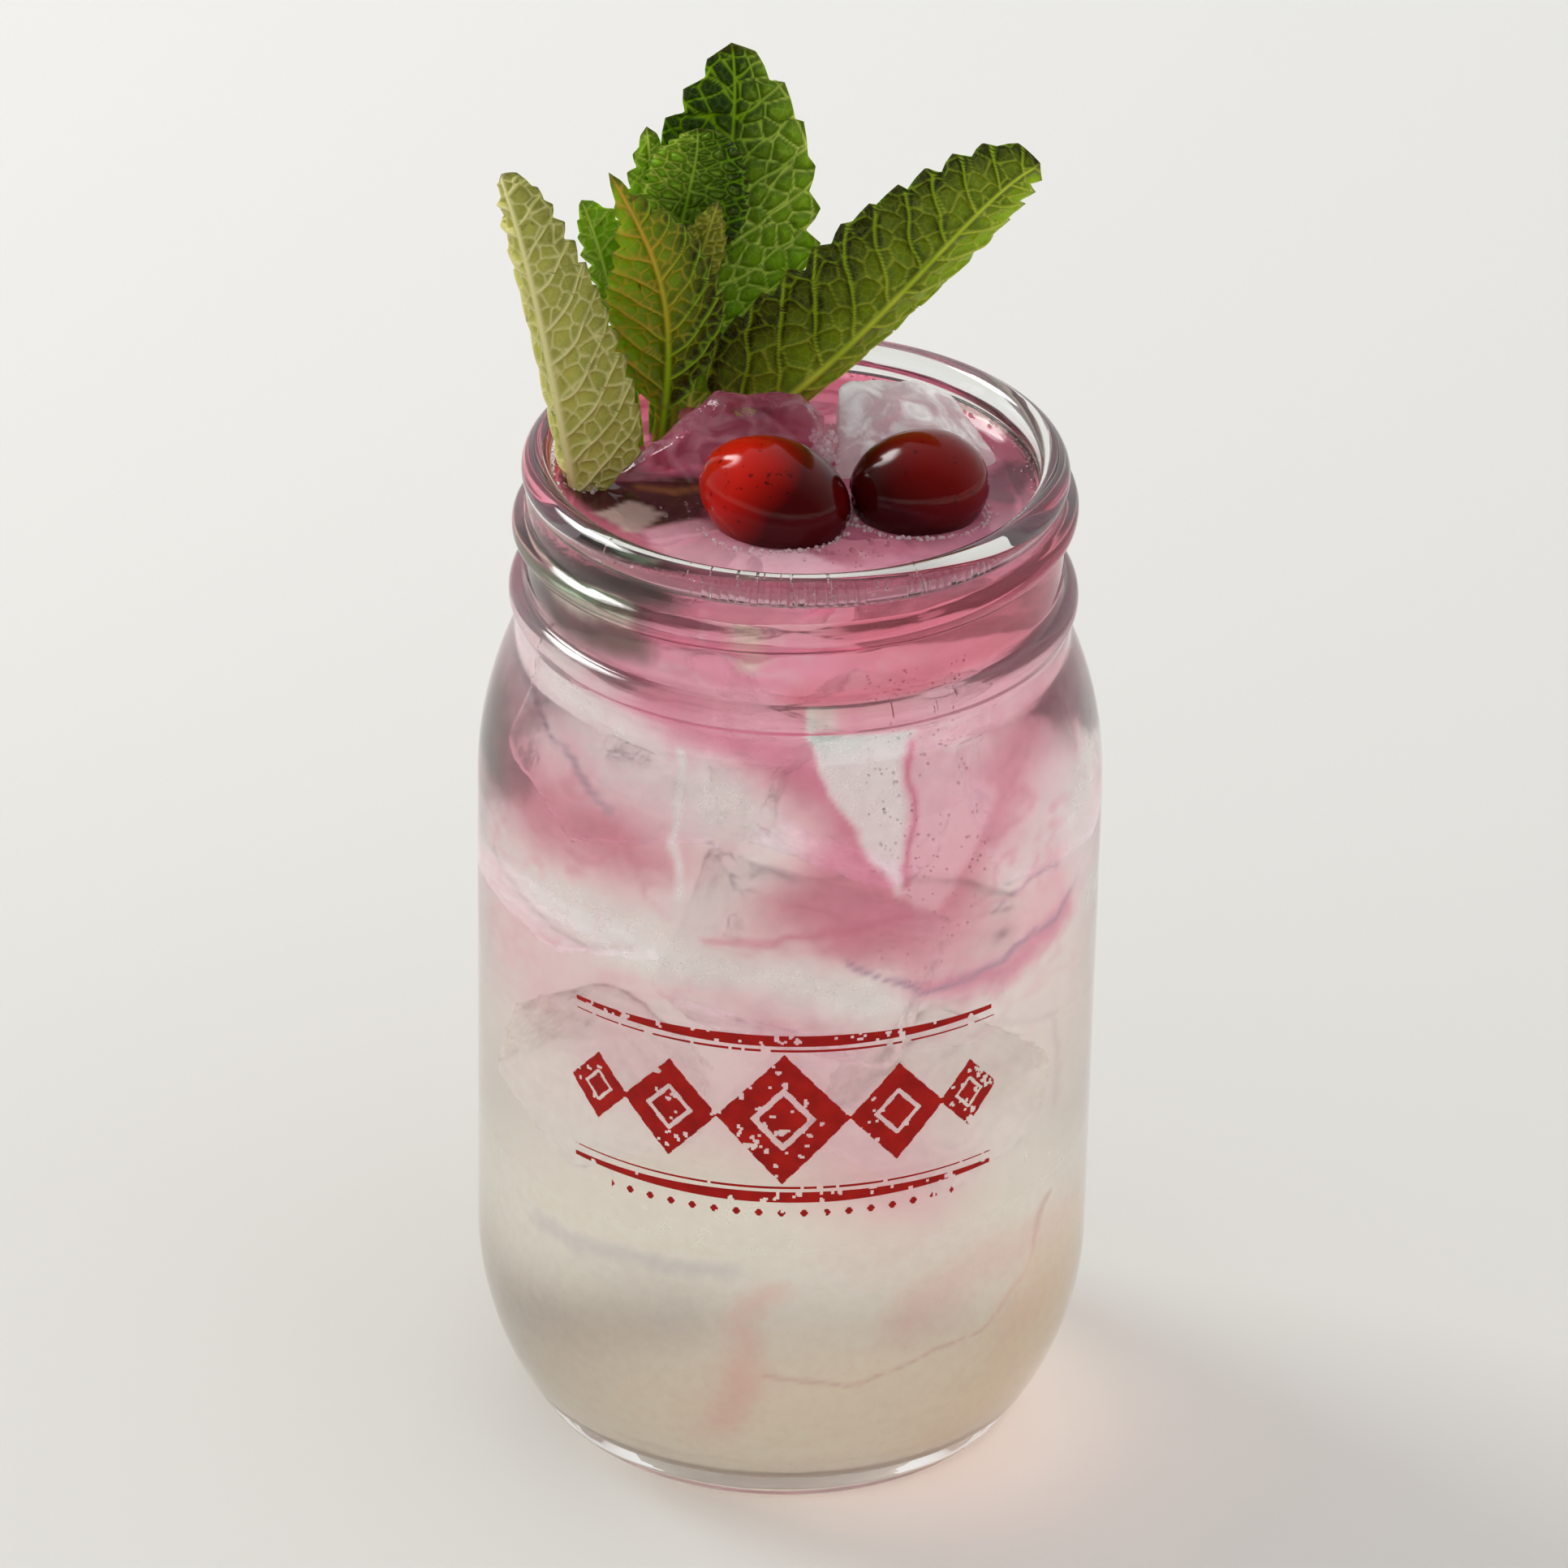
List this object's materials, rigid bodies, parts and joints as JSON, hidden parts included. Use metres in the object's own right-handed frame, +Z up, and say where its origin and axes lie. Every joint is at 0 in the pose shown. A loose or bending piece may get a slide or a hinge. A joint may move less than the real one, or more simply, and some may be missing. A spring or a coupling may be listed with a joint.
{
  "type": "glass of iced pink mocktail",
  "caption": "Screw-top jar of iced pink and cream mocktail topped with cranberries, ice and a sprig of fresh mint",
  "frame": {"origin": "centre of the jar's foot, on the surface that it stands on", "axes": "+Z up along the jar's axis; the shown front, with the berries nearest, looks towards -Y; +X is to the right as seen from the front"},
  "size_m": [0.0782, 0.0782, 0.1787],
  "materials": {
    "jar_glass": "clear pressed soda-lime glass, glossy",
    "drink": "cloudy pink drink fading to cream at the foot",
    "cranberry": "glossy waxy skin of a fresh cranberry",
    "ice": "wet melting ice, clear with a pink tint",
    "mint": "fresh mint leaf, veined, softly satin"
  },
  "bodies": {
    "root": {"glass_jar": "jar_glass", "drink": "drink", "cranberry_left": "cranberry", "cranberry_right": "cranberry", "ice_left": "ice", "ice_right": "ice", "mint_left": "mint", "mint_front": "mint", "mint_small_left": "mint", "mint_small_front": "mint", "mint_centre": "mint", "mint_centre_behind": "mint", "mint_back": "mint", "mint_right": "mint"}
  },
  "joints": []
}
